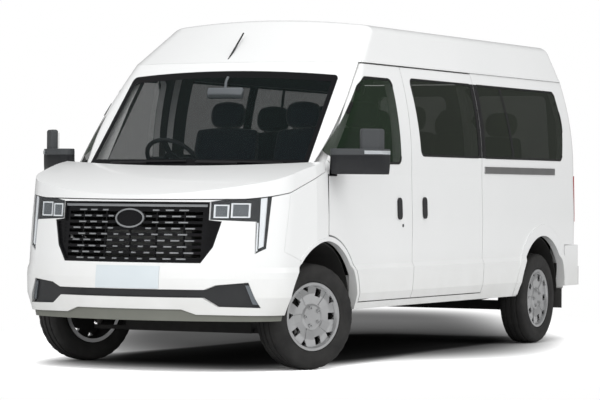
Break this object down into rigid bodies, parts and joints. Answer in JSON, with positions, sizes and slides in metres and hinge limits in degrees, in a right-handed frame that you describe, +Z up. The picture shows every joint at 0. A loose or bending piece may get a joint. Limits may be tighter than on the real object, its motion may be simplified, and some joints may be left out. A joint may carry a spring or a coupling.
{
  "type": "passenger van",
  "caption": "Long-wheelbase passenger van with a mid-height roof, a bonnet, hinged cab doors, a sliding side door, twin rear doors and steered front wheels.",
  "frame": {"origin": "middle of the overall box on the ground under the tyres", "axes": "+Z up, -Y towards the front of the van, +X towards its own left side"},
  "size_m": [2.604, 5.7, 2.3449],
  "materials": {
    "white_paint": "gloss",
    "underbody": "satin",
    "black_plastic": "satin",
    "grey_plastic": "matt",
    "grille_black": "gloss",
    "screen_glass": "clear",
    "dark_glass": "tinted",
    "lamp_glass": "clear",
    "lamp_black": "gloss",
    "red_lens": "gloss",
    "wheel_silver": "metallic satin",
    "tyre": "matt",
    "rail_silver": "satin",
    "seat_fabric": "woven",
    "dash": "grained",
    "floor_mat": "ribbed",
    "cast": "rough",
    "steel": "satin",
    "exhaust_steel": "dull"
  },
  "bodies": {
    "body": {"antenna": "black_plastic", "body_side_left": "white_paint", "body_side_right": "white_paint", "bulkhead": "underbody", "bumper_grille": "black_plastic", "chassis_rails": "underbody", "cowl": "black_plastic", "dashboard": "dash", "engine": "cast", "exhaust": "exhaust_steel", "floor": "floor_mat", "front_bumper": "white_paint", "front_seats": "seat_fabric", "front_subframe": "underbody", "front_wings": "white_paint", "fuel_tank": "grey_plastic", "grille": "grille_black", "headlamp_lenses": "lamp_glass", "headlamps": "lamp_black", "leaf_springs": "underbody", "mudflaps": "grey_plastic", "rear_axle": "underbody", "rear_bumper": "white_paint", "rear_seats": "seat_fabric", "roof": "white_paint", "side_glass": "dark_glass", "slide_rail": "rail_silver", "sliding_door": "white_paint", "sliding_door_handle": "black_plastic", "spare_wheel": "tyre", "steering_wheel": "black_plastic", "tail_lamps": "red_lens", "wheel_housings": "grey_plastic", "windscreen": "screen_glass", "windscreen_frame": "white_paint"},
    "bonnet": {"bonnet": "white_paint"},
    "front_door_left": {"front_door_left": "white_paint", "front_door_glass_left": "dark_glass", "mirror_left": "black_plastic", "door_handle_left": "black_plastic"},
    "front_door_right": {"front_door_right": "white_paint", "front_door_glass_right": "dark_glass", "mirror_right": "black_plastic", "door_handle_right": "black_plastic"},
    "rear_door_left": {"rear_door_left": "white_paint", "rear_door_glass_left": "dark_glass"},
    "rear_door_right": {"rear_door_right": "white_paint", "rear_door_glass_right": "dark_glass"},
    "knuckle_left": {"knuckle_left": "steel"},
    "knuckle_right": {"knuckle_right": "steel"},
    "wheel_front_left": {"wheel_front_left": "wheel_silver", "tyre_front_left": "tyre"},
    "wheel_front_right": {"wheel_front_right": "wheel_silver", "tyre_front_right": "tyre"},
    "wheel_rear_left": {"wheel_rear_left": "wheel_silver", "tyre_rear_left": "tyre"},
    "wheel_rear_right": {"wheel_rear_right": "wheel_silver", "tyre_rear_right": "tyre"}
  },
  "joints": [
    {"name": "bonnet_hinge", "type": "hinge", "parent": "body", "child": "bonnet", "pos_m": [0, -1.952, 1.312], "axis": [-1, 0, 0], "range_deg": [0, 45]},
    {"name": "front_door_left_hinge", "type": "hinge", "parent": "body", "child": "front_door_left", "pos_m": [0.93, -1.94, 1.087], "axis": [0, 0, -1], "range_deg": [0, 65]},
    {"name": "front_door_right_hinge", "type": "hinge", "parent": "body", "child": "front_door_right", "pos_m": [-0.93, -1.94, 1.087], "axis": [0, 0, 1], "range_deg": [0, 65]},
    {"name": "rear_door_left_hinge", "type": "hinge", "parent": "body", "child": "rear_door_left", "pos_m": [0.85, 2.728, 1.25], "axis": [0, 0, -1], "range_deg": [0, 180]},
    {"name": "rear_door_right_hinge", "type": "hinge", "parent": "body", "child": "rear_door_right", "pos_m": [-0.85, 2.728, 1.25], "axis": [0, 0, 1], "range_deg": [0, 180]},
    {"name": "steer_left", "type": "hinge", "parent": "body", "child": "knuckle_left", "pos_m": [0.72, -1.92, 0.345], "axis": [0, 0, 1], "range_deg": [-11, 59]},
    {"name": "steer_right", "type": "hinge", "parent": "body", "child": "knuckle_right", "pos_m": [-0.72, -1.92, 0.345], "axis": [0, 0, 1], "range_deg": [-11, 59]},
    {"name": "front_left_spin", "type": "hinge", "parent": "knuckle_left", "child": "wheel_front_left", "pos_m": [0.85429, -1.97979, 0.345], "axis": [0.9135, -0.4067, 0], "continuous": true},
    {"name": "front_right_spin", "type": "hinge", "parent": "knuckle_right", "child": "wheel_front_right", "pos_m": [-0.85429, -1.86021, 0.345], "axis": [0.9135, -0.4067, 0], "continuous": true},
    {"name": "rear_left_spin", "type": "hinge", "parent": "body", "child": "wheel_rear_left", "pos_m": [0.861, 1.93, 0.345], "axis": [1, 0, 0], "continuous": true},
    {"name": "rear_right_spin", "type": "hinge", "parent": "body", "child": "wheel_rear_right", "pos_m": [-0.861, 1.93, 0.345], "axis": [1, 0, 0], "continuous": true}
  ],
  "couplings": [
    {"joint": "steer_right", "follows": "steer_left", "ratio": 1}
  ]
}
